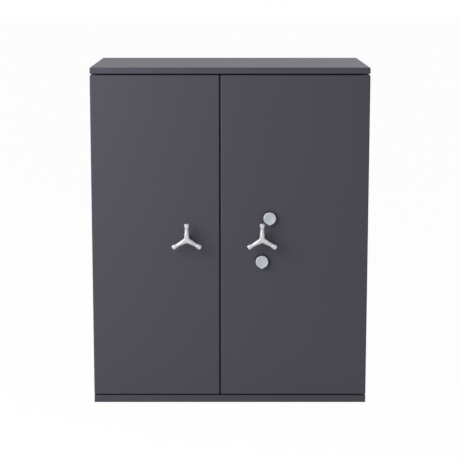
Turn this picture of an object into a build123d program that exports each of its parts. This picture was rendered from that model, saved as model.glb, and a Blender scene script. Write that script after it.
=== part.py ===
"""A two-door graded security safe: fire and burglary resisting cabinet with a bolted leaf on each side.

Millimetres, +Z up, +X to the right of someone facing the doors, +Y away from them.
The origin is on the floor, under the middle of the cabinet with its doors shut.
Modelled shut and unlocked: every live bolt is withdrawn, and each handle has one spoke straight up.
"""

import os
from math import atan2, cos, degrees, hypot, radians, sin, sqrt

from build123d import *

# Cabinet
width = 970.0
height = 1195.0
depth = 550.0  # faces of the shut doors to the back panel
sheet = 3.0  # outer steel
liner_sheet = 3.0
wall = 62.0  # side, top and bottom walls, steel and barrier together
rear_wall = 62.0
cap_band = 22.0  # height of the cap's lip over the doors
base_band = 25.0
fold_radius = 4.0
rear_lip = 20.0  # how far the back panel's folded sides reach forward
frame_tail = 12.0  # how far the door reveal runs on behind the bolt housings

# Doors
door_split = -34.7  # middle of the gap between the two leaves
door_gap = 4.0
leaf_depth = 62.0
leaf_radius = 4.0
swing_margin = 1.5  # air left behind a leaf's outer corner as it swings
back_plate = 4.0
housing_depth = 60.0
housing_gap = 7.0
cover_sheet = 2.0

# Hinge pivots
pivot_inset = 18.0  # from the leaf's side and from its face
pin_radius = 8.0
pin_reach = 30.0
bearing_height = 40.0
running_fit = 0.05
collar_radius = 12.0

# Boltwork
bolt_radius = 12.5
bolt_throw = 30.0
bolt_proud = 2.0
bolt_length = 60.0
bolt_depth = 31.0  # bolt centres, behind the leaf
bolt_spread = 200.0  # between the two bolts at the top or bottom of a leaf
side_bolt_pitch = 320.0
bolt_clearance = 0.5
strike_clearance = 1.5
dog_radius = 11.0
dog_projection = 20.0
dog_nut = 6.0
bar_sheet = 5.0
bar_flange = 6.0
flange_width = 28.0
bar_width = 30.0
cross_width = 50.0
side_bar_width = 56.0
side_bar_end = 80.0  # how far the upright bar runs past its end bolts
slide_clearance = 0.3

# Handle drive
left_handle_inset = 116.5  # handle to the middle of the gap between the leaves
right_handle_inset = 147.0
handle_turn = 90.0
cam_thickness = 8.0
cam_start = 22.0  # distance of a follower pin from the spindle, bolts withdrawn
cam_margin = 6.5
follower_radius = 5.0
spindle_radius = 7.0
bush_radius = 11.0
bush_flange_radius = 15.0
bush_flange = 3.0
stud_radius = 5.0
stud_head_radius = 8.5
stud_head = 3.0
upright_stud_steps = (190.0, 340.0)
side_stud_step = 220.0

# Three-spoke handle
spoke_reach = 61.0
spoke_root_radius = 9.0
spoke_waist_radius = 5.8
spoke_waist_at = 45.0
knob_radius = 8.2
knob_length = 12.0
knob_edge = 3.0
hub_front = 8.2  # hub's face from the middle of the spokes
hub_stand_off = 38.0  # door face to the middle of the spokes
neck_radius = 10.5
dimple_radius = 3.5
set_screw_radius = 3.0

# Key locks
upper_key_right = 26.7  # upper keyhole from the right handle
upper_key_up = 71.0
lower_key_down = 83.5  # lower keyhole under the right handle
lock_long = 90.0
lock_wide = 60.0
lock_thick = 26.0
lock_key_inset = 20.0
lock_bolt_thick = 8.0
lock_bolt_front = 14.0
lock_bolt_throw = 12.0
lock_plate = 2.0
lug_height = 9.0
lug_width = 14.0
lug_reach = 9.0
lug_gap = 1.5
lug_margin = 3.5
stop_angle = 210.0  # where the cam's stop stands, bolts withdrawn, from the right, anticlockwise
key_tube_radius = 11.5
key_tube_wall = 1.5
key_slot_width = 7.0
key_slot_height = 18.0

# Keyhole covers
rose_radius = 23.0
rose_thick = 10.0
cover_thick = 3.0
cover_air = 0.3
cover_point = 26.4  # centre to the tip of the finger point
cover_point_radius = 2.0
cover_edge = 0.8
stud_drop = 6.5  # rim to the middle of the cover's pivot stud
cover_stud_radius = 2.5
cover_stud_head_radius = 4.2
cover_stud_head = 1.5

# Storage
shelf_count = 3
shelf_sheet = 2.0
shelf_lip = 25.0
shelf_hem = 10.0
shelf_back_gap = 9.0
shelf_side_gap = 2.0
upright_width = 30.0
upright_depth = 14.0
upright_sheet = 2.0
upright_inset = 45.0  # middle of an upright from the shelf's front or back edge
slot_pitch = 50.0
slot_height = 14.0
slot_width = 8.0
clip_sheet = 3.0
clip_reach = 16.0
clip_height = 22.0

# Floor fixing
anchor_radius = 8.0
anchor_wall = 3.0
anchor_span_x = 640.0
anchor_span_y = 260.0
anchor_centre_y = 30.0

# Screws
cover_screw_radius = 2.0
cover_screw_head = 4.5
cover_screw_soft = 1.8
cover_screw_length = 12.0
cover_screw_dome = 2.2
tab_size = 14.0
cover_screw_step = 160.0

# Levels worked out from those sizes
handle_height = height / 2
left_handle_x = door_split - left_handle_inset
right_handle_x = door_split + right_handle_inset
upper_key_x = right_handle_x + upper_key_right
upper_key_z = handle_height + upper_key_up
lower_key_z = handle_height - lower_key_down
half_width = width / 2
inner_half = half_width - sheet
mouth_half = half_width - wall
floor_z = wall
ceiling_z = height - wall
door_bottom = base_band + door_gap
door_top = height - cap_band - door_gap
y_face = -depth / 2
y_back = depth / 2
y_leaf = y_face + leaf_depth
pivot_y = y_face + pivot_inset
corner_depth = leaf_depth - pivot_inset
leaf_clearance = hypot(pivot_inset, corner_depth) - corner_depth + swing_margin
y_frame = y_leaf + leaf_clearance
y_housing = y_leaf + housing_depth
y_cover = y_housing - cover_sheet
y_reveal = y_housing + frame_tail
y_store = y_back - rear_wall
housing_bottom = floor_z + housing_gap
housing_top = ceiling_z - housing_gap
y_bolt = y_leaf + bolt_depth
y_cam_front = y_bolt
y_cam_back = y_cam_front + cam_thickness
y_bar = y_cam_back + slide_clearance
y_bar_back = y_bar + bar_sheet
flange_front = y_bar_back - flange_width
bearing_size = 2 * (pivot_inset - sheet)
cam_rate = bolt_throw / radians(handle_turn)
cam_radius = cam_start + bolt_throw + follower_radius + cam_margin
slot_radius = stud_radius + slide_clearance
lug_bottom = handle_height + cam_radius + lug_gap
lock_bolt_height = bolt_throw - lug_height - 2 * lug_margin
lock_bolt_offset = lug_bottom + (lug_height + bolt_throw) / 2 - upper_key_z
dog_steps = (-side_bolt_pitch, 0.0, side_bolt_pitch)

front = Plane((0, 0, 0), x_dir=(1, 0, 0), z_dir=(0, -1, 0))  # drawn as seen from in front


def block(x, y, z):
    """A box between two values on each axis, given in either order."""
    (x0, x1), (y0, y1), (z0, z1) = sorted(x), sorted(y), sorted(z)
    return Pos((x0 + x1) / 2, (y0 + y1) / 2, (z0 + z1) / 2) * Box(x1 - x0, y1 - y0, z1 - z0)


def rod_x(y, z, span, radius):
    """A round bar along X."""
    low, high = sorted(span)
    return Pos((low + high) / 2, y, z) * Rot(0, 90, 0) * Cylinder(radius, high - low)


def rod_y(x, z, span, radius):
    """A round bar along Y."""
    low, high = sorted(span)
    return Pos(x, (low + high) / 2, z) * Rot(90, 0, 0) * Cylinder(radius, high - low)


def rod_z(x, y, span, radius):
    """A round bar along Z."""
    low, high = sorted(span)
    return Pos(x, y, (low + high) / 2) * Cylinder(radius, high - low)


def from_front(face, y_span):
    """A face drawn in the front view, given thickness between two depths."""
    low, high = sorted(y_span)
    return extrude(Pos(0, high, 0) * (front * face), amount=high - low, dir=(0, -1, 0))


def long_slot(start, end, radius, y_span):
    """A round-ended slot between two points of the front view."""
    (x0, z0), (x1, z1) = start, end
    length = hypot(x1 - x0, z1 - z0)
    turn = degrees(atan2(z1 - z0, x1 - x0))
    face = Pos((x0 + x1) / 2, (z0 + z1) / 2) * Rot(0, 0, turn) * SlotCenterToCenter(length, 2 * radius)
    return from_front(face, y_span)


def save(name, *solids):
    """Writes one named piece, or one group of like pieces."""
    found = [s for shape in solids for s in shape.solids()]
    export_step(found[0] if len(found) == 1 else Compound(found), f"parts/{name}.step")


class Leaf:
    """The places that one door's pieces share. side is -1 for the left leaf and +1 for the right."""

    def __init__(self, name, side, handle_x, throws):
        self.name, self.side, self.handle_x, self.throws = name, side, handle_x, throws
        self.outer = side * half_width
        self.meeting = door_split + side * door_gap / 2
        self.pivot_x = side * (half_width - pivot_inset)
        self.housing_outer = side * (mouth_half - housing_gap)
        # The housing's back corner swings past the other leaf, so it stands back from the leaf's own edge.
        passing = abs(self.pivot_x - door_split) + door_gap / 2 - swing_margin
        self.housing_meeting = self.pivot_x - side * sqrt(passing**2 - (y_housing - pivot_y) ** 2)
        middle = (self.housing_outer + self.housing_meeting) / 2
        self.bolt_xs = (middle - bolt_spread / 2, middle + bolt_spread / 2)
        self.z = (door_bottom, door_top)

    def skin_span(self, inset=0.0):
        return sorted((self.outer - self.side * inset, self.meeting + self.side * inset))

    def housing_span(self, inset=0.0):
        return sorted((self.housing_outer - self.side * inset, self.housing_meeting + self.side * inset))


left = Leaf("left", -1, left_handle_x, (90, 270))
right = Leaf("right", 1, right_handle_x, (90, 180, 270))
keyholes = ((upper_key_x, upper_key_z), (right_handle_x, lower_key_z))


# Cabinet shell

def folded_box(x, y, z, soft_edges):
    """A block of sheet work with its folded edges rounded."""
    shape = block(x, y, z)
    return fillet(soft_edges(shape), fold_radius)


def top_cap():
    """The top pressing. Its front lip is a closed box that overhangs the doors."""
    low = height - cap_band

    def folds(shape):
        edges = shape.edges()
        lip = edges.group_by(Axis.Z)[0].sort_by(Axis.Y)[0]
        return edges.group_by(Axis.Z)[-1] + edges.filter_by(Axis.Z) + [lip]

    cap = folded_box((-half_width, half_width), (y_face, y_back), (low, height), folds)
    cap -= block((-inner_half, inner_half), (y_frame, y_back - sheet), (low, height - sheet))
    cap -= block((-inner_half, inner_half), (y_face + sheet, y_frame), (low + sheet, height - sheet))
    for leaf in (left, right):
        cap -= rod_z(leaf.pivot_x, pivot_y, (low, low + sheet), pin_radius + running_fit)
    return cap


def anchor_places():
    for x in (-anchor_span_x / 2, anchor_span_x / 2):
        for y in (anchor_centre_y - anchor_span_y / 2, anchor_centre_y + anchor_span_y / 2):
            yield x, y


def base_tray():
    """The bottom pressing: a tray with the same box lip under the doors, flat on the floor."""

    def folds(shape):
        edges = shape.edges()
        lip = edges.group_by(Axis.Z)[-1].sort_by(Axis.Y)[0]
        return edges.filter_by(Axis.Z) + [lip]

    tray = folded_box((-half_width, half_width), (y_face, y_back), (0, base_band), folds)
    tray -= block((-inner_half, inner_half), (y_frame, y_back - sheet), (sheet, base_band))
    tray -= block((-inner_half, inner_half), (y_face + sheet, y_frame), (sheet, base_band - sheet))
    for leaf in (left, right):
        tray -= rod_z(leaf.pivot_x, pivot_y, (base_band - sheet, base_band), pin_radius + running_fit)
    for x, y in anchor_places():
        tray -= rod_z(x, y, (0, sheet), anchor_radius)
    return tray


def side_panel(side):
    return block(
        (side * inner_half, side * half_width), (y_frame, y_back - rear_lip), (base_band, height - cap_band)
    )


def rear_panel():
    """The back, folded forward at both sides to meet the side panels."""
    z = (base_band, height - cap_band)
    panel = folded_box(
        (-half_width, half_width),
        (y_back - rear_lip, y_back),
        z,
        lambda shape: shape.edges().filter_by(Axis.Z).group_by(Axis.Y)[-1],
    )
    return panel - block((-inner_half, inner_half), (y_back - rear_lip, y_back - sheet), z)


def strike_pockets():
    """Room in the walls for every bolt: round for the live ones, and long for the dogs, which swing out."""
    for leaf in (left, right):
        for x in leaf.bolt_xs:
            reach = bolt_proud + bolt_throw - housing_gap + strike_clearance
            radius = bolt_radius + strike_clearance
            yield rod_z(x, y_bolt, (ceiling_z, ceiling_z + reach), radius)
            yield rod_z(x, y_bolt, (floor_z - reach, floor_z), radius)
        # A dog's tip swings on a circle about the pivot, so the pocket opens forward of where it lies at rest.
        tip = wall + housing_gap - dog_projection - pivot_inset
        face = y_bolt - dog_radius - pivot_y
        leaves = sqrt(tip**2 + face**2 - (wall - pivot_inset) ** 2)
        y = (pivot_y + leaves - strike_clearance, y_bolt + dog_radius + strike_clearance)
        x = (leaf.side * mouth_half, leaf.side * (mouth_half + dog_projection - housing_gap + strike_clearance))
        for step in dog_steps:
            half = dog_radius + strike_clearance
            yield block(x, y, (handle_height + step - half, handle_height + step + half))


def wall_fill():
    """The barrier slabs cast between the casing and the liner: side, side, top, bottom and back."""
    y = (y_frame + sheet, y_back - sheet)
    inner = mouth_half + liner_sheet
    low, high = floor_z - liner_sheet, ceiling_z + liner_sheet
    slabs = [
        block((-inner_half, inner_half), y, (high, height - sheet)),
        block((-inner_half, inner_half), y, (sheet, low)),
        block((-inner_half, -inner), y, (low, high)),
        block((inner, inner_half), y, (low, high)),
        block((-inner, inner), (y_store + liner_sheet, y_back - sheet), (low, high)),
    ]
    for pocket in strike_pockets():
        slabs = [slab - pocket for slab in slabs]
    for x, y in anchor_places():
        slabs[1] -= rod_z(x, y, (0, floor_z), anchor_radius + anchor_wall)
    return slabs


def inner_liner():
    """The storage space: a five-sided steel box behind the door reveal."""
    out = liner_sheet
    box = block((-mouth_half - out, mouth_half + out), (y_reveal, y_store + out), (floor_z - out, ceiling_z + out))
    box -= block((-mouth_half, mouth_half), (y_reveal, y_store), (floor_z, ceiling_z))
    for x, y in anchor_places():
        box -= rod_z(x, y, (floor_z - out, floor_z), anchor_radius)
    return box


def front_frame():
    """Two posts and two rails of L section that close the walls in front and line the doorway."""
    inner = mouth_half + liner_sheet
    low, high = floor_z - liner_sheet, ceiling_z + liner_sheet
    face, reveal = (y_frame, y_frame + sheet), (y_frame, y_reveal)
    across = (-inner_half, inner_half)
    rails = [
        block(across, face, (high, height - sheet)) + block((-inner, inner), reveal, (ceiling_z, high)),
        block(across, face, (sheet, low)) + block((-inner, inner), reveal, (low, floor_z)),
    ]
    posts = [
        block((s * inner, s * inner_half), face, (low, high))
        + block((s * mouth_half, s * inner), reveal, (floor_z, ceiling_z))
        for s in (-1, 1)
    ]
    members = rails + posts
    for pocket in strike_pockets():
        members = [member - pocket for member in members]
    return members


def hinge_pivots():
    """Four blocks welded into the lips, each with the pin that a leaf turns on."""
    half = bearing_size / 2
    low, high = door_bottom + pin_reach, door_top - pin_reach
    pivots = []
    for leaf in (left, right):
        x, y = leaf.pivot_x, pivot_y
        square = (x - half, x + half), (y - half, y + half)
        pivots += [
            block(*square, (height - cap_band + sheet, height - sheet))
            + rod_z(x, y, (high, height - cap_band + sheet), pin_radius),
            block(*square, (sheet, base_band - sheet)) + rod_z(x, y, (base_band - sheet, low), pin_radius),
        ]
    return pivots


def anchor_sleeves():
    """Steel tubes through the bottom slab that keep the anchor holes open."""
    return [
        rod_z(x, y, (sheet, floor_z - liner_sheet), anchor_radius + anchor_wall)
        - rod_z(x, y, (sheet, floor_z - liner_sheet), anchor_radius)
        for x, y in anchor_places()
    ]


# Storage

shelf_front = y_reveal + slide_clearance
upright_low = floor_z + slot_pitch / 2
upright_slots = int((ceiling_z - floor_z - slot_pitch) // slot_pitch)
upright_high = upright_low + upright_slots * slot_pitch
shelf_back = y_store - shelf_back_gap
upright_ys = (shelf_front + upright_inset, shelf_back - upright_inset)
shelf_half = mouth_half - upright_depth - shelf_side_gap


def slot_z(number):
    return upright_low + (number + 0.5) * slot_pitch


def shelf_levels():
    """Each shelf hangs from the slot nearest to an even division of the height."""
    for n in range(1, shelf_count + 1):
        wanted = floor_z + (ceiling_z - floor_z) * n / (shelf_count + 1)
        yield slot_z(round((wanted - upright_low) / slot_pitch - 0.5))


def upright(side, y):
    """A slotted channel on the side wall."""
    x_wall, x_face = side * mouth_half, side * (mouth_half - upright_depth)
    half = upright_width / 2
    channel = block((x_wall, x_face), (y - half, y + half), (upright_low, upright_high))
    inside = half - upright_sheet
    channel -= block(
        (x_wall, x_face + side * upright_sheet), (y - inside, y + inside), (upright_low, upright_high)
    )
    slots = [
        block(
            (x_face, x_face + side * upright_sheet),
            (y - slot_width / 2, y + slot_width / 2),
            (slot_z(n) - slot_height / 2, slot_z(n) + slot_height / 2),
        )
        for n in range(upright_slots)
    ]
    return channel - slots


def shelf_clip(side, y, z):
    """A steel clip hooked through a slot, with the ledge that a shelf lies on."""
    x_face = side * (mouth_half - upright_depth)
    half = slot_width / 2 - slide_clearance
    y_span = (y - half, y + half)
    ledge = block((x_face, x_face - side * clip_reach), y_span, (z - clip_sheet, z))
    plate = block((x_face, x_face - side * clip_sheet), y_span, (z - clip_height, z))
    hook_low = z - slot_height / 2 + slide_clearance
    hook = block((x_face, x_face + side * (upright_sheet + clip_sheet)), y_span, (hook_low, z))
    return ledge + plate + hook


def shelf(z):
    """A folded steel shelf with deep front and back lips, each with a hem."""
    x = (-shelf_half, shelf_half)
    y0, y1 = shelf_front, shelf_back
    tray = block(x, (y0, y1), (z, z + shelf_sheet))
    for lip, inward in ((y0, 1), (y1, -1)):
        tray += block(x, (lip, lip + inward * shelf_sheet), (z + shelf_sheet - shelf_lip, z + shelf_sheet))
        foot = z + shelf_sheet - shelf_lip
        tray += block(x, (lip, lip + inward * shelf_hem), (foot, foot + shelf_sheet))
    return fillet(tray.edges().filter_by(Axis.X).group_by(Axis.Z)[-1], shelf_sheet / 2)


# Door leaves

def key_tube_openings(leaf, y_span, radius):
    if leaf is right:
        for x, z in keyholes:
            yield rod_y(x, z, y_span, radius)


def door_skin(leaf):
    """The outer plate, folded back on all four sides."""
    skin = block(leaf.skin_span(), (y_face, y_leaf), leaf.z)
    soft = skin.edges().filter_by(Axis.Y) + skin.edges().group_by(Axis.Y)[0]
    skin = fillet(soft, leaf_radius)
    inside = (door_bottom + sheet, door_top - sheet)
    skin -= block(leaf.skin_span(sheet), (y_face + sheet, y_leaf), inside)
    skin -= rod_y(leaf.handle_x, handle_height, (y_face, y_face + sheet), bush_radius)
    for hole in key_tube_openings(leaf, (y_face, y_face + sheet), key_tube_radius):
        skin -= hole
    skin -= rod_z(leaf.pivot_x, pivot_y, (door_top - sheet, door_top), pin_radius + swing_margin)
    skin -= rod_z(leaf.pivot_x, pivot_y, (door_bottom, door_bottom + sheet), collar_radius)
    return skin


def hinge_bearings(leaf):
    """Blocks in the leaf's outer corners, bored for the pins. The lower one's collar carries the leaf."""
    half = bearing_size / 2
    x, y = leaf.pivot_x, pivot_y
    square = (x - half, x + half), (y - half, y + half)
    top, bottom = door_top - sheet, door_bottom + sheet
    upper = block(*square, (top - bearing_height, top))
    lower = block(*square, (bottom, bottom + bearing_height))
    lower += rod_z(x, y, (base_band, bottom), collar_radius)
    bore = rod_z(x, y, (base_band, height), pin_radius + running_fit)
    return [upper - bore, lower - bore]


def door_fill(leaf):
    """The barrier slab inside the leaf."""
    z = (door_bottom + sheet, door_top - sheet)
    slab = block(leaf.skin_span(sheet), (y_face + sheet, y_leaf - back_plate), z)
    half = bearing_size / 2
    corner = (leaf.pivot_x - half, leaf.pivot_x + half), (pivot_y - half, pivot_y + half)
    slab -= block(*corner, (z[0], z[0] + bearing_height))
    slab -= block(*corner, (z[1] - bearing_height, z[1]))
    slab -= rod_y(leaf.handle_x, handle_height, (y_face, y_leaf), bush_radius)
    for hole in key_tube_openings(leaf, (y_face, y_leaf), key_tube_radius):
        slab -= hole
    return slab


def door_back(leaf):
    """The plate that closes the leaf's back and carries the boltwork."""
    z = (door_bottom + sheet, door_top - sheet)
    plate = block(leaf.skin_span(sheet), (y_leaf - back_plate, y_leaf), z)
    plate -= rod_y(leaf.handle_x, handle_height, (y_leaf - back_plate, y_leaf), bush_radius)
    for hole in key_tube_openings(leaf, (y_leaf - back_plate, y_leaf), key_tube_radius):
        plate -= hole
    return plate


def side_bolt_levels():
    return [handle_height + step for step in dog_steps]


def screw_places(leaf):
    """Where the inner cover is screwed down: the housing's corners, and twice along each upright side."""
    inset = sheet + tab_size / 2
    for x in leaf.housing_span(inset):
        for z in (housing_bottom + inset, housing_top - inset):
            yield x, z
        for step in (-cover_screw_step, cover_screw_step):
            yield x, handle_height + step


def bolt_housing(leaf):
    """The four walls round the boltwork, holed for each bolt, with a tab under each cover screw."""
    y = (y_leaf, y_cover)
    ring = block(leaf.housing_span(), y, (housing_bottom, housing_top))
    ring -= block(leaf.housing_span(sheet), y, (housing_bottom + sheet, housing_top - sheet))
    half = tab_size / 2
    for x, z in screw_places(leaf):
        tab = block((x - half, x + half), (y_cover - cover_screw_length, y_cover), (z - half, z + half))
        ring += tab
    for x, z in screw_places(leaf):
        ring -= rod_y(x, z, (y_cover - cover_screw_length, y_cover), cover_screw_radius)
    for x in leaf.bolt_xs:
        ring -= rod_z(x, y_bolt, (housing_bottom, housing_top), bolt_radius + bolt_clearance)
    near = leaf.housing_meeting
    passing = bolt_radius + (bolt_clearance if leaf is right else strike_clearance)
    for z in side_bolt_levels():
        ring -= rod_x(y_bolt, z, (near, near + leaf.side * sheet), passing)
        outer = leaf.housing_outer
        ring -= rod_x(y_bolt, z, (outer, outer - leaf.side * sheet), dog_radius)
    return ring


def inner_cover(leaf):
    """The sheet that closes the boltwork."""
    plate = block(leaf.housing_span(), (y_cover, y_housing), (housing_bottom, housing_top))
    plate = fillet(plate.edges().filter_by(Axis.Y), leaf_radius)
    for x, z in screw_places(leaf):
        plate -= rod_y(x, z, (y_cover, y_housing), cover_screw_radius)
    return plate


def cover_screws(leaf):
    """Dome-headed screws, one in each tab."""
    screws = []
    for x, z in screw_places(leaf):
        head = rod_y(x, z, (y_housing, y_housing + cover_screw_dome), cover_screw_head)
        head = fillet(head.edges().sort_by(Axis.Y)[-1], cover_screw_soft)
        screws.append(head + rod_y(x, z, (y_cover - cover_screw_length, y_housing), cover_screw_radius))
    return screws


def dog_bolts(leaf):
    """Fixed bolts on the hinge side, each shouldered inside the housing wall."""
    outer = leaf.housing_outer
    inner = outer - leaf.side * sheet
    tip = outer + leaf.side * dog_projection
    dogs = []
    for z in side_bolt_levels():
        shank = rod_x(y_bolt, z, (inner, tip), dog_radius)
        shank = chamfer(shank.edges().sort_by(Axis.X)[-1 if leaf.side > 0 else 0], strike_clearance)
        dogs.append(shank + rod_x(y_bolt, z, (inner, inner - leaf.side * dog_nut), dog_radius + dog_nut / 2))
    return dogs


def handle_bush(leaf):
    """The flanged sleeve that carries the spindle through the leaf."""
    x, z = leaf.handle_x, handle_height
    bush = rod_y(x, z, (y_face - bush_flange, y_face), bush_flange_radius)
    bush = chamfer(bush.edges().sort_by(Axis.Y)[0], bush_flange / 3)
    bush += rod_y(x, z, (y_face, y_leaf), bush_radius)
    return bush - rod_y(x, z, (y_face - bush_flange, y_leaf), spindle_radius + running_fit)


# Handle and its cam

def spindle(leaf):
    x, z = leaf.handle_x, handle_height
    return rod_y(x, z, (y_face - hub_stand_off, y_cam_back - slide_clearance), spindle_radius)


def three_spoke_handle(leaf):
    """Three turned spokes at 120 degrees, waisted before a flat-ended knob, on a round neck."""
    knob_start = spoke_reach - knob_length
    profile = [
        Line((0, 0), (spoke_root_radius, 0)),
        Line((spoke_root_radius, 0), (spoke_waist_radius, spoke_waist_at)),
        ThreePointArc(
            (spoke_waist_radius, spoke_waist_at),
            (spoke_waist_radius + (knob_radius - spoke_waist_radius) * 0.4, (spoke_waist_at + knob_start) / 2),
            (knob_radius, knob_start),
        ),
        Line((knob_radius, knob_start), (knob_radius, spoke_reach - knob_edge)),
        RadiusArc((knob_radius, spoke_reach - knob_edge), (knob_radius - knob_edge, spoke_reach), -knob_edge),
        Line((knob_radius - knob_edge, spoke_reach), (0, spoke_reach)),
        Line((0, spoke_reach), (0, 0)),
    ]
    spoke = Rot(90, 0, 0) * revolve(make_face(profile), Axis.Y)
    dimple = Pos(0, -knob_radius - dimple_radius / 2, spoke_reach - knob_length / 2) * Sphere(dimple_radius)
    spoke -= dimple
    body = rod_y(0, 0, (-hub_front, hub_stand_off - bush_flange - slide_clearance), neck_radius)
    body = fillet(body.edges().sort_by(Axis.Y)[0], knob_edge)
    for turn in (0, 120, 240):
        body += Rot(0, turn, 0) * spoke
    body -= rod_y(0, 0, (0, hub_stand_off), spindle_radius)
    body = Pos(leaf.handle_x, y_face - hub_stand_off, handle_height) * body
    return body - set_screw(leaf)


def set_screw(leaf):
    """The grub screw under the neck that grips the spindle."""
    low = handle_height - neck_radius
    y = y_face - bush_flange - 3 * set_screw_radius
    return rod_z(leaf.handle_x, y, (low, handle_height - spindle_radius), set_screw_radius)


def spiral_slot(throw_angle):
    """The slot that moves a follower pin straight out along throw_angle by an equal step for each degree
    of turn: an Archimedean spiral, offset to each side by the pin's radius and its clearance."""
    half = follower_radius + slide_clearance
    steps = 9
    sides = ([], [])
    ends = []
    for n in range(steps):
        turned = radians(handle_turn) * n / (steps - 1)
        angle, reach = radians(throw_angle) - turned, cam_start + cam_rate * turned
        centre = Vector(reach * cos(angle), reach * sin(angle))
        along = Vector(cam_rate * cos(angle) + reach * sin(angle), cam_rate * sin(angle) - reach * cos(angle))
        across = Vector(-along.Y, along.X).normalized() * half
        sides[0].append(centre + across)
        sides[1].append(centre - across)
        ends.append(centre)
    out, back = Spline(*sides[0]), Spline(*reversed(sides[1]))
    face = make_face([out, Line(out @ 1, back @ 0), back, Line(back @ 1, out @ 0)])
    return face + Pos(*ends[0]) * Circle(half) + Pos(*ends[-1]) * Circle(half)


def cam_disc(leaf):
    """The wheel on the spindle: one spiral slot for each bolt carriage, and on the locked leaf the stop
    that the lower lock's bolt blocks."""
    face = Circle(cam_radius) - Circle(spindle_radius)
    for angle in leaf.throws:
        face -= spiral_slot(angle)
    disc = from_front(face, (y_cam_front, y_cam_back))
    if leaf is right:
        reach = cam_radius - 1 - lug_reach / 2
        stop = block(
            (reach - lug_reach / 2, reach + lug_reach / 2),
            (y_leaf + lock_bolt_front, y_cam_front),
            (-lug_reach / 2, lug_reach / 2),
        )
        disc += Rot(0, -stop_angle, 0) * stop
    return Pos(leaf.handle_x, 0, handle_height) * disc


# Bolt carriages

def live_bolts(places):
    """Round bolts with a chamfered nose. Each place is (axis, where it stands, tail, tip)."""
    bolts = []
    for make, at, tail, tip in places:
        bolt = make(*at, (tail, tip), bolt_radius)
        nose = bolt.edges().filter_by(GeomType.CIRCLE)
        axis = {rod_x: Axis.X, rod_z: Axis.Z}[make]
        bolts.append(chamfer(nose.sort_by(axis)[-1 if tip > tail else 0], strike_clearance))
    return bolts


def upright_bolts(leaf, up):
    edge = housing_top + bolt_proud if up > 0 else housing_bottom - bolt_proud
    return live_bolts([(rod_z, (x, y_bolt), edge - up * bolt_length, edge) for x in leaf.bolt_xs])


def follower_pin(x, z):
    return rod_y(x, z, (y_cam_front + slide_clearance, y_bar), follower_radius)


def upright_carriage(leaf, up):
    """The T-shaped bar that moves the bolts at the top or bottom of a leaf."""
    x, z = leaf.handle_x, handle_height
    edge = housing_top + bolt_proud if up > 0 else housing_bottom - bolt_proud
    flange = edge - up * bolt_length
    ends = (min(*leaf.bolt_xs, x) - bolt_radius - sheet, max(*leaf.bolt_xs, x) + bolt_radius + sheet)
    pin_z = z + up * cam_start
    bar = block(
        (x - bar_width / 2, x + bar_width / 2), (y_bar, y_bar_back), (pin_z - up * (follower_radius + 2), flange)
    )
    bar += block(ends, (y_bar, y_bar_back), (flange - up * cross_width, flange))
    bar += block(ends, (flange_front, y_bar_back), (flange - up * bar_flange, flange))
    for step in upright_stud_steps:
        at = z + up * step
        bar -= long_slot((x, at), (x, at - up * bolt_throw), slot_radius, (y_bar, y_bar_back))
    bar += follower_pin(x, pin_z)
    if leaf is right and up > 0:
        lug_left = upper_key_x - lock_key_inset - 2 - lug_width
        bar += block(
            (lug_left, lug_left + lug_width),
            (y_leaf + lock_bolt_front, y_bar),
            (lug_bottom, lug_bottom + lug_height),
        )
    return bar


def side_bolts():
    tip = right.housing_meeting - bolt_proud
    return live_bolts([(rod_x, (y_bolt, z), tip + bolt_length, tip) for z in side_bolt_levels()])


side_flange = right.housing_meeting - bolt_proud + bolt_length
side_stud_x = side_flange + bar_flange + slot_radius + sheet


def side_carriage():
    """The upright bar that moves the three bolts at the meeting edge."""
    half = side_bolt_pitch + side_bar_end
    z0, z1 = handle_height - half, handle_height + half
    pin_x = right.handle_x - cam_start
    bar = block((side_flange, side_flange + side_bar_width), (y_bar, y_bar_back), (z0, z1))
    bar += block((side_flange, side_flange + bar_flange), (flange_front, y_bar_back), (z0, z1))
    arm = follower_radius + 1
    bar += block((side_flange, pin_x + arm), (y_bar, y_bar_back), (handle_height - arm, handle_height + arm))
    for step in (-side_stud_step, side_stud_step):
        z = handle_height + step
        bar -= long_slot((side_stud_x, z), (side_stud_x + bolt_throw, z), slot_radius, (y_bar, y_bar_back))
    return bar + follower_pin(pin_x, handle_height)


def guide_studs(leaf):
    """Shouldered studs on the back plate, one through each slot of the carriages."""
    places = [(leaf.handle_x, handle_height + up * step) for up in (-1, 1) for step in upright_stud_steps]
    if leaf is right:
        places += [(side_stud_x, handle_height + s * side_stud_step) for s in (-1, 1)]
    head = y_bar_back + slide_clearance
    return [
        rod_y(x, z, (y_leaf, head), stud_radius) + rod_y(x, z, (head, head + stud_head), stud_head_radius)
        for x, z in places
    ]


# Key locks, drawn with the bolt leaving to the left of the key, and turned a quarter for the lower one

def lock_turns():
    for (x, z), turn in zip(keyholes, (0, 90), strict=True):
        yield Pos(x, 0, z) * Rot(0, turn, 0)


def lock_bolt_box(out, clearance=0.0):
    """The lock's own bolt, out by some travel."""
    half = lock_bolt_height / 2 + clearance
    x = (-lock_key_inset - out, lock_long / 2 - lock_key_inset)
    y = (y_leaf + lock_bolt_front - clearance, y_leaf + lock_bolt_front + lock_bolt_thick + clearance)
    return block(x, y, (lock_bolt_offset - half, lock_bolt_offset + half))


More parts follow.
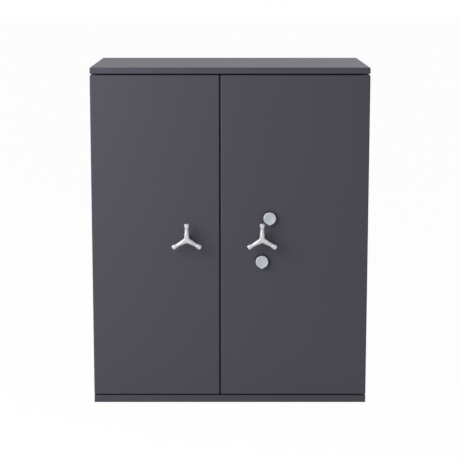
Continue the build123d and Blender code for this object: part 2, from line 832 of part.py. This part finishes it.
def lock_cases():
    cases = []
    for turn in lock_turns():
        x = (-lock_key_inset, lock_long - lock_key_inset)
        case = block(x, (y_leaf, y_leaf + lock_thick), (-lock_wide / 2, lock_wide / 2))
        case = fillet(case.edges().filter_by(Axis.Y), fold_radius)
        case -= block(
            (-lock_key_inset, x[1] - sheet - lock_bolt_throw),
            (y_leaf + lock_bolt_front - slide_clearance, y_leaf + lock_thick - lock_plate),
            (-lock_wide / 2 + sheet, lock_wide / 2 - sheet),
        ) & lock_bolt_box(0, slide_clearance)
        slot = key_slot_width / 2, key_slot_height / 2
        case -= turned_slot(turn, *slot, (y_leaf, y_leaf + lock_bolt_front - lock_plate))
        cases.append(turn * case)
    return cases


def turned_slot(turn, half_x, half_z, y_span):
    """An upright keyhole, whichever way the lock lies."""
    slot = block((-half_x, half_x), y_span, (-half_z, half_z))
    return Rot(0, -turn.orientation.Y, 0) * slot


def lock_bolts():
    return [turn * lock_bolt_box(0) for turn in lock_turns()]


def key_tubes():
    """Steel tubes that guide the key through the leaf."""
    return [
        rod_y(x, z, (y_face, y_leaf), key_tube_radius)
        - rod_y(x, z, (y_face, y_leaf), key_tube_radius - key_tube_wall)
        for x, z in keyholes
    ]


def rose(at):
    """The round body under a keyhole cover, slotted for the key and bored for the cover's stud."""
    x, z = at
    y = (y_face - rose_thick, y_face)
    body = rod_y(x, z, y, rose_radius - cover_edge)
    body = chamfer(body.edges().sort_by(Axis.Y)[0], cover_edge)
    body -= block(
        (x - key_slot_width / 2, x + key_slot_width / 2), y, (z - key_slot_height / 2, z + key_slot_height / 2)
    )
    stud_z = z + rose_radius - stud_drop
    body -= rod_y(x, stud_z, y, cover_stud_radius + running_fit)
    recess = (y_face - cover_stud_head - 2 * cover_air, y_face)
    return body - rod_y(x, stud_z, recess, cover_stud_head_radius + cover_air)


def key_cover(at):
    """The swinging cover: a disc drawn down to a finger point, on a stud peened over behind the rose."""
    x, z = at
    point = Pos(0, cover_point_radius - cover_point) * Circle(cover_point_radius)
    outline = make_hull(Circle(rose_radius).edges() + point.edges())
    front_y = y_face - rose_thick - cover_air
    cover = from_front(outline, (front_y - cover_thick, front_y))
    cover = fillet(cover.edges().group_by(Axis.Y)[0], cover_edge)
    stud_z = rose_radius - stud_drop
    head = (y_face - cover_stud_head - cover_air, y_face - cover_air)
    cover += rod_y(0, stud_z, (front_y, head[0]), cover_stud_radius)
    cover += rod_y(0, stud_z, head, cover_stud_head_radius)
    return Pos(x, 0, z) * cover


def build():
    os.makedirs("parts", exist_ok=True)
    save("top_cap", top_cap())
    save("base_tray", base_tray())
    save("left_side_panel", side_panel(-1))
    save("right_side_panel", side_panel(1))
    save("rear_panel", rear_panel())
    save("wall_fill", *wall_fill())
    save("inner_liner", inner_liner())
    save("front_frame", *front_frame())
    save("hinge_pivots", *hinge_pivots())
    save("anchor_sleeves", *anchor_sleeves())
    save("shelf_uprights", *[upright(side, y) for side in (-1, 1) for y in upright_ys])
    levels = list(shelf_levels())
    save("shelf_clips", *[shelf_clip(s, y, z) for s in (-1, 1) for y in upright_ys for z in levels])
    for number, z in enumerate(levels, 1):
        save(f"shelf_{number}", shelf(z))
    for leaf in (left, right):
        n = leaf.name
        save(f"{n}_door_skin", door_skin(leaf))
        save(f"{n}_door_fill", door_fill(leaf))
        save(f"{n}_door_back", door_back(leaf))
        save(f"{n}_bolt_housing", bolt_housing(leaf))
        save(f"{n}_inner_cover", inner_cover(leaf))
        save(f"{n}_cover_screws", *cover_screws(leaf))
        save(f"{n}_hinge_bearings", *hinge_bearings(leaf))
        save(f"{n}_dog_bolts", *dog_bolts(leaf))
        save(f"{n}_guide_studs", *guide_studs(leaf))
        save(f"{n}_handle_bush", handle_bush(leaf))
        save(f"{n}_handle", three_spoke_handle(leaf))
        save(f"{n}_handle_screw", set_screw(leaf))
        save(f"{n}_spindle", spindle(leaf))
        save(f"{n}_cam_disc", cam_disc(leaf))
        for up, place in ((1, "top"), (-1, "bottom")):
            save(f"{n}_{place}_carriage", upright_carriage(leaf, up))
            save(f"{n}_{place}_bolts", *upright_bolts(leaf, up))
    save("right_side_carriage", side_carriage())
    save("right_side_bolts", *side_bolts())
    save("lock_cases", *lock_cases())
    save("key_tubes", *key_tubes())
    for place, bolt in zip(("upper", "lower"), lock_bolts(), strict=True):
        save(f"{place}_lock_bolt", bolt)
    save("keyhole_roses", *[rose(at) for at in keyholes])
    for place, at in zip(("upper", "lower"), keyholes, strict=True):
        save(f"{place}_key_cover", key_cover(at))


build()
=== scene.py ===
"""The looks of a two-door graded security safe, in powder coat, satin chrome and bright steel.

Metres, +Z up, the doors facing -Y. The pieces follow the order in which the safe is put together.
"""

import math

import bmesh
import bpy
from mathutils import Matrix, Vector


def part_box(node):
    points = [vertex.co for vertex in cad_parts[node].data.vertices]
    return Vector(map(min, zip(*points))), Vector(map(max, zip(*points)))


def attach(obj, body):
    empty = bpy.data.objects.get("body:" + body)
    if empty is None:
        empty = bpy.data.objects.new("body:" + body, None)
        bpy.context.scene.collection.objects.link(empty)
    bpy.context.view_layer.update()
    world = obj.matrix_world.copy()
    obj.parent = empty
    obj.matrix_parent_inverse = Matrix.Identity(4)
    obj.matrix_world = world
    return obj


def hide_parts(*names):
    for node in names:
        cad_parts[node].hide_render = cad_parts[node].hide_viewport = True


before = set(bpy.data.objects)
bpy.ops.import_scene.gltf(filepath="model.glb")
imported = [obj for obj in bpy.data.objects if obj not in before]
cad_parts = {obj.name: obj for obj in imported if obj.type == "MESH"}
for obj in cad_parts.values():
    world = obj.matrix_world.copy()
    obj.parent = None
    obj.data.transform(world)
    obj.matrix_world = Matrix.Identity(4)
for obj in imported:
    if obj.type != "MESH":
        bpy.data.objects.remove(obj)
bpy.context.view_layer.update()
mm = 0.001


# Base tray
# Folded 3 mm steel that the whole cabinet stands in, its box-shaped front lip under the doors.
# Powder coated in a fine-textured dark grey with a faint violet cast.

door_grey = (0.0575, 0.0545, 0.0705)


def finish(name, colour, roughness, metallic=0.0, specular=0.5):
    """A new material for one finish, with its node tree and shader."""
    material = bpy.data.materials.new(name)
    material.use_nodes = True
    shader = material.node_tree.nodes["Principled BSDF"]
    shader.inputs["Base Color"].default_value = (*colour, 1)
    shader.inputs["Roughness"].default_value = roughness
    shader.inputs["Metallic"].default_value = metallic
    shader.inputs["Specular IOR Level"].default_value = specular
    material.diffuse_color = (*colour, 1)
    return material, material.node_tree, shader


def grain(tree, scale, detail=3.0, stretch=(1, 1, 1)):
    """Noise laid on the object itself, finer along an axis where the stretch is large."""
    place = tree.nodes.new("ShaderNodeTexCoord")
    mapping = tree.nodes.new("ShaderNodeMapping")
    mapping.inputs["Scale"].default_value = stretch
    tree.links.new(place.outputs["Object"], mapping.inputs["Vector"])
    cloud = tree.nodes.new("ShaderNodeTexNoise")
    cloud.inputs["Scale"].default_value = scale
    cloud.inputs["Detail"].default_value = detail
    tree.links.new(mapping.outputs["Vector"], cloud.inputs["Vector"])
    return cloud.outputs["Fac"]


def tones(tree, value, ends, socket):
    """Spreads the middle of a grain between two colours, or two greys, into a shader's socket."""
    spread = tree.nodes.new("ShaderNodeValToRGB")
    for stop, position, colour in zip(spread.color_ramp.elements, (0.35, 0.65), ends):
        stop.position = position
        stop.color = (*colour, 1) if isinstance(colour, tuple) else (colour, colour, colour, 1)
    tree.links.new(value, spread.inputs["Fac"])
    tree.links.new(spread.outputs["Color"], socket)


def tinted(colour, *factors):
    """The colour made darker or paler, once for each factor."""
    return [tuple(min(1.0, channel * factor) for channel in colour) for factor in factors]


def relief(tree, shader, value, depth, strength, under=None):
    """Raises a grain by a real depth, over a first layer of relief if there is one."""
    raised = tree.nodes.new("ShaderNodeBump")
    raised.inputs["Distance"].default_value = depth
    raised.inputs["Strength"].default_value = strength
    tree.links.new(value, raised.inputs["Height"])
    if under:
        tree.links.new(under, raised.inputs["Normal"])
    tree.links.new(raised.outputs["Normal"], shader.inputs["Normal"])
    return raised.outputs["Normal"]


def soft_edge(tree, radius):
    """The small radius that a fold, or a coat of paint, leaves on a sharp edge."""
    edge = tree.nodes.new("ShaderNodeBevel")
    edge.samples = 4
    edge.inputs["Radius"].default_value = radius
    return edge.outputs["Normal"]


def powder_coat(name, colour, roughness):
    """Powder coat: fine orange peel on a slower ripple, with a slight drift in colour."""
    material, tree, shader = finish(name, colour, roughness, specular=0.22)
    drift = grain(tree, scale=1.3, detail=2.0)
    tones(tree, drift, tinted(colour, 0.985, 1.015), shader.inputs["Base Color"])
    speckle = grain(tree, scale=420.0)
    tones(tree, speckle, (roughness - 0.06, roughness + 0.06), shader.inputs["Roughness"])
    fold = soft_edge(tree, radius=1.0 * mm)
    ripple = grain(tree, scale=150.0, detail=2.0)
    rippled = relief(tree, shader, ripple, depth=0.10 * mm, strength=0.25, under=fold)
    peel = grain(tree, scale=900.0, detail=2.0)
    relief(tree, shader, peel, depth=0.08 * mm, strength=0.5, under=rippled)
    return material


def dress(material, *names):
    """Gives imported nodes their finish."""
    for name in names:
        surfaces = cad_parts[name].data.materials
        surfaces.clear()
        surfaces.append(material)


shell_coat = powder_coat("shell_powder_coat", door_grey, roughness=0.50)
dress(shell_coat, "base_tray")

# Barrier slabs
# Cast cement with dark hard grit, poured between the casing and the liner and inside each leaf.
# It shows only at the bottom of the bolt holes.

cement = (0.105, 0.102, 0.098)
slab, tree, shader = finish("barrier_cement", cement, roughness=0.9)
grit = grain(tree, scale=120.0, detail=8.0)
tones(tree, grit, tinted(cement, 0.7, 1.15), shader.inputs["Base Color"])
pores = grain(tree, scale=260.0, detail=6.0)
relief(tree, shader, pores, depth=0.6 * mm, strength=0.6)
dress(slab, "wall_fill", "left_door_fill", "right_door_fill")

# Anchor sleeves
# Four drawn tubes, set upright in the bottom slab for the floor anchors.
# Bare steel, dulled by the heat of welding.


def bare_metal(name, colour, roughness, marks):
    """Bare or plated metal with a bloom, and tool marks as fine along each axis as marks says."""
    material, tree, shader = finish(name, colour, roughness, metallic=1.0)
    bloom = grain(tree, scale=30.0, detail=4.0)
    tones(tree, bloom, tinted(colour, 0.86, 1.08), shader.inputs["Base Color"])
    handling = grain(tree, scale=85.0)
    tones(tree, handling, (roughness - 0.06, roughness + 0.09), shader.inputs["Roughness"])
    lines = grain(tree, scale=45.0, detail=2.0, stretch=marks)
    corner = soft_edge(tree, radius=0.4 * mm)
    relief(tree, shader, lines, depth=0.05 * mm, strength=0.45, under=corner)
    return material


dull_steel = bare_metal("dulled_steel", (0.20, 0.20, 0.21), roughness=0.48, marks=(1, 1, 40))
dress(dull_steel, "anchor_sleeves")

# Storage liner
# Five welded sheets that line the storage space, with the slotted uprights screwed to its sides.
# Sprayed pale grey, a little glossier than the outside.

inner_grey = (0.47, 0.48, 0.50)
inner_coat = powder_coat("inner_powder_coat", inner_grey, roughness=0.40)
dress(inner_coat, "inner_liner", "shelf_uprights")

# Shelves
# Three folded steel trays with deep lips, lying on hooked clips.
# The trays are painted like the liner, and the clips are bright plated strip.

dress(inner_coat, "shelf_1", "shelf_2", "shelf_3")
plate_steel = bare_metal("plated_strip", (0.50, 0.51, 0.53), roughness=0.34, marks=(1, 12, 30))
dress(plate_steel, "shelf_clips")

# Front frame and casing
# The door reveal with its bolt holes, the side panels, the folded back, and the cap with its lip.
# All are powder coated with the base.

dress(shell_coat, "front_frame", "left_side_panel", "right_side_panel", "rear_panel", "top_cap")

# Hinge pivots
# Upright pins in the cap and the base, and the bored corner blocks of the leaves that turn on them.
# Blackened steel, kept dark so that they don't show in the gaps.

blackened = (0.012, 0.012, 0.014)
black, tree, shader = finish("blackened_steel", blackened, roughness=0.50, specular=0.22)
tones(tree, grain(tree, scale=60.0), (0.44, 0.56), shader.inputs["Roughness"])
tones(tree, grain(tree, scale=300.0), tinted(blackened, 0.8, 1.3), shader.inputs["Base Color"])
corner = soft_edge(tree, radius=0.4 * mm)
relief(tree, shader, grain(tree, scale=600.0), depth=0.05 * mm, strength=0.3, under=corner)
dress(black, "hinge_pivots", "left_hinge_bearings", "right_hinge_bearings")

# Leaves
# Each is a folded tray filled with barrier and closed behind by a plate.
# The outside is coated with the cabinet, and the back plate like the liner.

dress(shell_coat, "left_door_skin", "right_door_skin")
dress(inner_coat, "left_door_back", "right_door_back")

# Bolt housings
# A ring of plate round the boltwork on the back of each leaf, closed by a thin screwed cover.
# Both are painted like the liner.

for leaf in ("left", "right"):
    dress(inner_coat, f"{leaf}_bolt_housing", f"{leaf}_inner_cover")

# Bolts
# Solid bars turned from bright steel, with chamfered noses and fine tool marks round them.
# The live ones stand upright or across; the fixed dogs on the hinge side all lie across.

bright = (0.58, 0.59, 0.61)
upright_bar = bare_metal("turned_bar_upright", bright, roughness=0.26, marks=(1, 1, 45))
level_bar = bare_metal("turned_bar_across", bright, roughness=0.26, marks=(45, 1, 1))
for leaf in ("left", "right"):
    dress(upright_bar, f"{leaf}_top_bolts", f"{leaf}_bottom_bolts")
    dress(level_bar, f"{leaf}_dog_bolts")
dress(level_bar, "right_side_bolts")

# Bars, cams and studs
# The carriages that hold the bolts, the slotted cams that push them, and the studs that guide them.
# Laser-cut plate and turned pins, zinc plated.

for leaf in ("left", "right"):
    dress(plate_steel, f"{leaf}_top_carriage", f"{leaf}_bottom_carriage", f"{leaf}_cam_disc")
    dress(plate_steel, f"{leaf}_guide_studs", f"{leaf}_spindle")
dress(plate_steel, "right_side_carriage")

# Key locks
# Two lock cases in yellow passivate, each with a brass bolt, and the tubes that lead the key in.
# The cases stand on the back plate of the right leaf, and the tubes pass through its barrier.

passivate = (0.42, 0.36, 0.22)
green_cast = (0.36, 0.40, 0.28)
lock_zinc, tree, shader = finish("yellow_passivate", passivate, roughness=0.40, metallic=0.9)
clouds = grain(tree, scale=45.0, detail=4.0)
tones(tree, clouds, (*tinted(passivate, 0.8), green_cast), shader.inputs["Base Color"])
tones(tree, grain(tree, scale=90.0), (0.34, 0.50), shader.inputs["Roughness"])
dress(lock_zinc, "lock_cases")

bolt_brass = bare_metal("lock_bolt_brass", (0.62, 0.45, 0.20), roughness=0.30, marks=(1, 1, 20))
dress(bolt_brass, "upper_lock_bolt", "lower_lock_bolt")
dress(plate_steel, "key_tubes")

# Inner cover screws
# Button heads with a six-sided socket, each left at its own angle by the screwdriver.
# Bright zinc plate.

screw_inset = 4.5 * mm
middle_heights = (437.5 * mm, 757.5 * mm)
head_height = 2.2 * mm
socket_depth = 1.5 * mm
socket_corner = 1.5 * mm
half_side = math.pi / 6  # of the six-sided socket, seen from its middle
backwards = Matrix.Rotation(-math.pi / 2, 4, "X")  # a turned piece then stands towards +Y
screw = [
    (0, -14), (1.6, -14), (2.0, -13.4), (2.0, 0), (4.4, 0), (4.5, 0.25), (4.45, 0.7), (4.1, 1.3),
    (3.3, 1.8), (2.4, 2.1), (1.75, 2.2), (1.5, 2.1), (1.5, 0.8), (0, 0.5),
]


def turned(bm, profile, steps, place):
    """Turns a profile of (radius, height) in millimetres round +Z, and sets it in its place."""
    points = [bm.verts.new((radius * mm, 0, height * mm)) for radius, height in profile]
    lines = [bm.edges.new(pair) for pair in zip(points, points[1:])]
    bmesh.ops.spin(
        bm, geom=points + lines, cent=(0, 0, 0), axis=(0, 0, 1),
        angle=math.tau, steps=steps, use_merge=True,
    )
    reached = set(points)
    fringe = set(points)
    while fringe:
        fringe = {e.other_vert(v) for v in fringe for e in v.link_edges} - reached
        reached |= fringe
    reached = [vertex for vertex in bm.verts if vertex in reached]
    bmesh.ops.transform(bm, matrix=place, verts=reached)
    bmesh.ops.remove_doubles(bm, verts=reached, dist=0.0005 * mm)


def made(bm, name, sharp_above=35):
    """Closes off a bmesh as a mesh that is smooth but for its sharp edges."""
    bmesh.ops.recalc_face_normals(bm, faces=bm.faces)
    for face in bm.faces:
        face.smooth = True
    for edge in bm.edges:
        edge.smooth = edge.calc_face_angle(0) < math.radians(sharp_above)
    mesh = bpy.data.meshes.new(name)
    bm.to_mesh(mesh)
    bm.free()
    return mesh


def fit(name, mesh, finishes, body, node):
    """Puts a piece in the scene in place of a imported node."""
    piece = bpy.data.objects.new(name, mesh)
    bpy.context.scene.collection.objects.link(piece)
    for surface in finishes:
        mesh.materials.append(surface)
    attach(piece, body)
    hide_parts(node)


for leaf in ("left", "right"):
    low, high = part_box(f"{leaf}_cover_screws")
    bm = bmesh.new()
    turn = 0.4
    for x in (low.x + screw_inset, high.x - screw_inset):
        for z in (low.z + screw_inset, *middle_heights, high.z - screw_inset):
            place = Matrix.Translation((x, high.y - head_height, z))
            turned(bm, screw, steps=24, place=place @ backwards @ Matrix.Rotation(turn, 4, "Z"))
            for vertex in bm.verts:
                out = Vector((vertex.co.x - x, vertex.co.z - z))
                on_socket = abs(out.length - socket_corner) < 0.01 * mm
                if on_socket and vertex.co.y > high.y - socket_depth:
                    side = (math.atan2(out.y, out.x) + turn) % (2 * half_side) - half_side
                    out *= math.cos(half_side) / math.cos(side)
                    vertex.co.x, vertex.co.z = x + out.x, z + out.y
            turn += 1.9
    fit(
        f"{leaf}_socket_screws", made(bm, "socket_screws"), [plate_steel],
        f"{leaf}_door", f"{leaf}_cover_screws",
    )

# Spindle bushes
# A flanged sleeve through each leaf. Only the thin flange shows, under the hub.
# Blackened steel, like the pivots.

dress(black, "left_handle_bush", "right_handle_bush")

# Handles
# One casting each: three waisted spokes run into the hub and end in knobs with a dimple.
# Milled flat in front, tumbled and plated in satin chrome. A grub screw holds it to the spindle.

satin = (0.51, 0.52, 0.54)
chrome, tree, shader = finish("satin_chrome", satin, roughness=0.56, metallic=1.0)
tones(tree, grain(tree, scale=90.0), tinted(satin, 0.95, 1.03), shader.inputs["Base Color"])
tones(tree, grain(tree, scale=260.0), (0.50, 0.62), shader.inputs["Roughness"])
relief(tree, shader, grain(tree, scale=800.0, detail=2.0), depth=0.05 * mm, strength=0.35)

spoke = [
    (0, 0), (10.4, 0), (10.1, 6), (9.2, 14), (8.3, 22), (7.4, 30), (6.9, 36), (6.9, 38.5),
    (7.4, 41), (8.1, 43.5), (8.7, 46), (8.9, 49), (8.8, 53), (8.5, 55.6), (7.6, 57), (6.0, 57.4),
    (0, 57.4),
]
neck = [
    (0, -8.4), (5.0, -8.3), (8.4, -7.6), (10.2, -5.4), (10.5, -2), (10.5, 34.2), (10.1, 34.7),
    (0, 34.7),
]
milled_front = 8.1 * mm
spoke_turns = [Matrix.Rotation(math.radians(angle), 4, "Y") for angle in (0, 120, 240)]
knob_reach = 49.5 * mm
knob_front = -4.0 * mm
dimple_radius = 3.8 * mm
dimple_depth = 1.7 * mm

bm = bmesh.new()
turned(bm, neck, steps=48, place=backwards)
for turn in spoke_turns:
    turned(bm, spoke, steps=40, place=turn)
bmesh.ops.bisect_plane(
    bm, geom=bm.verts[:] + bm.edges[:] + bm.faces[:],
    plane_co=(0, -milled_front, 0), plane_no=(0, -1, 0), clear_outer=True,
)
bmesh.ops.holes_fill(bm, edges=[edge for edge in bm.edges if edge.is_boundary])
rough = bpy.data.objects.new("rough_casting", made(bm, "rough_casting"))
bpy.context.scene.collection.objects.link(rough)
skin = rough.modifiers.new("skin", "REMESH")
skin.mode = "VOXEL"
skin.voxel_size = 0.7 * mm
tumble = rough.modifiers.new("tumble", "SMOOTH")
tumble.factor = 0.5
tumble.iterations = 9
tumbled = rough.evaluated_get(bpy.context.evaluated_depsgraph_get())
casting = bpy.data.meshes.new_from_object(tumbled)
bpy.data.objects.remove(rough)

bm = bmesh.new()
bm.from_mesh(casting)
for turn in spoke_turns:
    knob = turn @ Vector((0, 0, knob_reach))
    for vertex in bm.verts:
        away = (vertex.co - knob).xz.length
        if vertex.co.y < knob_front and away < dimple_radius:
            vertex.co.y += dimple_depth * (0.5 + 0.5 * math.cos(math.pi * away / dimple_radius))
for leaf in ("left", "right"):
    low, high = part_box(f"{leaf}_spindle")
    middle = (low + high) / 2
    copy = bm.copy()
    bmesh.ops.translate(copy, verts=copy.verts, vec=(middle.x, low.y, middle.z))
    fit(
        f"{leaf}_handle_casting", made(copy, f"{leaf}_casting", sharp_above=60), [chrome],
        f"{leaf}_handle", f"{leaf}_handle",
    )
bm.free()
dress(black, "left_handle_screw", "right_handle_screw")

# Keyhole roses
# Round bodies fixed over the two keyholes, slotted for the key.
# Blackened, and a little wider than the covers, so they frame them with a dark line.

keyholes = [Vector((139.0 * mm, 668.5 * mm)), Vector((112.3 * mm, 514.0 * mm))]
rose_growth = 24.6 / 23.0
inside_rim = 21.6 * mm

bm = bmesh.new()
bm.from_mesh(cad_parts["keyhole_roses"].data)
bmesh.ops.remove_doubles(bm, verts=bm.verts, dist=0.001 * mm)
for vertex in bm.verts:
    centre = min(keyholes, key=lambda keyhole: (vertex.co.xz - keyhole).length)
    out = vertex.co.xz - centre
    if out.length > inside_rim:
        vertex.co.x, vertex.co.z = centre + out * rose_growth
fit(
    "keyhole_rose_pair", made(bm, "keyhole_rose_pair"), [black],
    "right_door", "keyhole_roses",
)

# Keyhole covers
# A pressed disc drawn down to a finger point, with a rolled rim round a barely dished face.
# It hangs from a riveted stud near its top. Plated like the handles, its face brushed cooler.

brushed = (0.46, 0.49, 0.55)
brushed_chrome, tree, shader = finish("brushed_chrome", brushed, roughness=0.36, metallic=1.0)
clouds = grain(tree, scale=70.0, detail=4.0)
tones(tree, clouds, tinted(brushed, 0.94, 1.06), shader.inputs["Base Color"])
tones(tree, grain(tree, scale=300.0), (0.30, 0.44), shader.inputs["Roughness"])
brushing = grain(tree, scale=260.0, detail=2.0, stretch=(0.15, 1, 1))
relief(tree, shader, brushing, depth=0.05 * mm, strength=0.5)

thickness = 3.0 * mm
disc_radius = 22.0 * mm
point_radius = 3.0 * mm
point_reach = 25.0 * mm
rolled_rim = 1.7 * mm
dish_border = 0.6 * mm
dish_depth = 0.2 * mm
stud_rise = 16.5 * mm
stud_start = 2.8 * mm
stud = [(0, 0), (2.5, 0), (2.5, 8.7), (4.0, 8.7), (4.2, 8.9), (4.2, 9.9), (3.6, 10.2), (0, 10.2)]

for place, (keyhole_x, keyhole_z) in zip(("upper", "lower"), keyholes):
    front_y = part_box(f"{place}_key_cover")[0].y
    bm = bmesh.new()
    disc = Matrix.Translation((keyhole_x, front_y + thickness / 2, keyhole_z)) @ backwards
    point = Matrix.Translation((0, 0, point_radius - point_reach)) @ disc
    for radius, segments, matrix in ((disc_radius, 96, disc), (point_radius, 24, point)):
        bmesh.ops.create_cone(
            bm, cap_ends=True, segments=segments, radius1=radius, radius2=radius,
            depth=thickness, matrix=matrix,
        )
    wrapped = bmesh.ops.convex_hull(bm, input=bm.verts)
    spare = set(wrapped["geom_interior"] + wrapped["geom_unused"])
    spare = [vertex for vertex in bm.verts if vertex in spare]
    bmesh.ops.delete(bm, geom=spare, context="VERTS")
    bmesh.ops.dissolve_limit(bm, angle_limit=0.02, verts=bm.verts, edges=bm.edges)
    front = min(bm.faces, key=lambda face: face.calc_center_median().y)
    bmesh.ops.bevel(
        bm, geom=list(front.edges), offset=rolled_rim, segments=5, profile=0.5,
        affect="EDGES", material=-1,
    )
    front = max(bm.faces, key=lambda face: face.calc_area() if face.normal.y < -0.9 else 0)
    border = bmesh.ops.inset_region(bm, faces=[front], thickness=dish_border, depth=-dish_depth)
    for face in border["faces"] + [front]:
        face.material_index = 1
    rivet = Matrix.Translation((keyhole_x, front_y + stud_start, keyhole_z + stud_rise))
    turned(bm, stud, steps=32, place=rivet @ backwards)
    fit(
        f"{place}_cover_disc", made(bm, f"{place}_cover"), [chrome, brushed_chrome],
        f"{place}_cover", f"{place}_key_cover",
    )

# Floor
# A plain pale studio floor, just under the base and no part of the safe.
# Eye and mirror see it white, with the safe's soft shadow left on it.


def combined(tree, operation, first, second):
    """One step of arithmetic on the kind of ray that meets the surface."""
    step = tree.nodes.new("ShaderNodeMath")
    step.operation = operation
    tree.links.new(first, step.inputs[0])
    if isinstance(second, float):
        step.inputs[1].default_value = second
    else:
        tree.links.new(second, step.inputs[1])
    return step.outputs["Value"]


def seen_white(tree, plain, glow, output, share):
    """Covers a shader with white where the eye meets it, straight, mirrored or through glass."""
    ray = tree.nodes.new("ShaderNodeLightPath").outputs
    seen = combined(tree, "MAXIMUM", ray["Is Camera Ray"], ray["Is Glossy Ray"])
    seen = combined(tree, "MAXIMUM", seen, ray["Is Transmission Ray"])
    white = tree.nodes.new(glow)
    white.inputs["Color"].default_value = (1, 1, 1, 1)
    white.inputs["Strength"].default_value = 1.0
    blend = tree.nodes.new("ShaderNodeMixShader")
    tree.links.new(combined(tree, "MULTIPLY", seen, share), blend.inputs[0])
    tree.links.new(plain.outputs[0], blend.inputs[1])
    tree.links.new(white.outputs[0], blend.inputs[2])
    tree.links.new(blend.outputs[0], tree.nodes.new(output).inputs["Surface"])


half_width = 40.0
just_below = -0.5 * mm
bm = bmesh.new()
bmesh.ops.create_grid(bm, x_segments=1, y_segments=1, size=half_width)
bmesh.ops.translate(bm, verts=bm.verts, vec=(0, 0, just_below))
floor = bpy.data.objects.new("floor", made(bm, "floor"))
bpy.context.scene.collection.objects.link(floor)
pale = bpy.data.materials.new("pale_floor")
pale.use_nodes = True
tree = pale.node_tree
tree.nodes.clear()
matt = tree.nodes.new("ShaderNodeBsdfDiffuse")
matt.inputs["Color"].default_value = (0.9, 0.9, 0.9, 1)
seen_white(tree, matt, "ShaderNodeEmission", "ShaderNodeOutputMaterial", share=0.97)
floor.data.materials.append(pale)

# Studio surround
# White wherever the eye meets it, straight or in a reflection.
# As light on the safe it is dimmer, and a touch cool.

studio = bpy.data.worlds.new("studio")
bpy.context.scene.world = studio
studio.use_nodes = True
tree = studio.node_tree
tree.nodes.clear()
plain = tree.nodes.new("ShaderNodeBackground")
plain.inputs["Color"].default_value = (0.97, 0.98, 1.0, 1)
plain.inputs["Strength"].default_value = 0.30
seen_white(tree, plain, "ShaderNodeBackground", "ShaderNodeOutputWorld", share=1.0)

# Lights
# A large softbox high on the left in front, and a dim, cooler one on the right above the cap.
# Both are turned to the middle of the doors.

doors_middle = Vector((0, -0.2, 0.6))


def softbox(name, place, width, watts, colour):
    """A square lamp that faces the doors."""
    lamp = bpy.data.lights.new(name, "AREA")
    lamp.shape = "SQUARE"
    lamp.size = width
    lamp.energy = watts
    lamp.color = colour
    stand = bpy.data.objects.new(name, lamp)
    stand.location = place
    stand.rotation_euler = (doors_middle - stand.location).to_track_quat("-Z", "Y").to_euler()
    bpy.context.scene.collection.objects.link(stand)


softbox("key_softbox", (-2.1, -1.9, 1.9), width=2.2, watts=100, colour=(1.0, 1.0, 1.0))
softbox("top_softbox", (1.5, 0.2, 2.0), width=1.0, watts=18, colour=(0.86, 0.91, 1.0))

# Camera
# Square on to the doors from just above eye level, looking slightly down, as in the photograph.
# A small shift of the picture takes up part of the tilt, so the uprights stay nearer parallel.

eye = (-0.0114, -5.275, 1.5375)
degrees_down = 9.51
lens = bpy.data.cameras.new("camera")
lens.lens = 113.3
lens.shift_x, lens.shift_y = 0.0071, -0.045
camera = bpy.data.objects.new("camera", lens)
camera.location = eye
camera.rotation_euler = (math.radians(90 - degrees_down), 0, 0)
bpy.context.scene.collection.objects.link(camera)
bpy.context.scene.camera = camera
bpy.context.scene.view_settings.view_transform = "Standard"
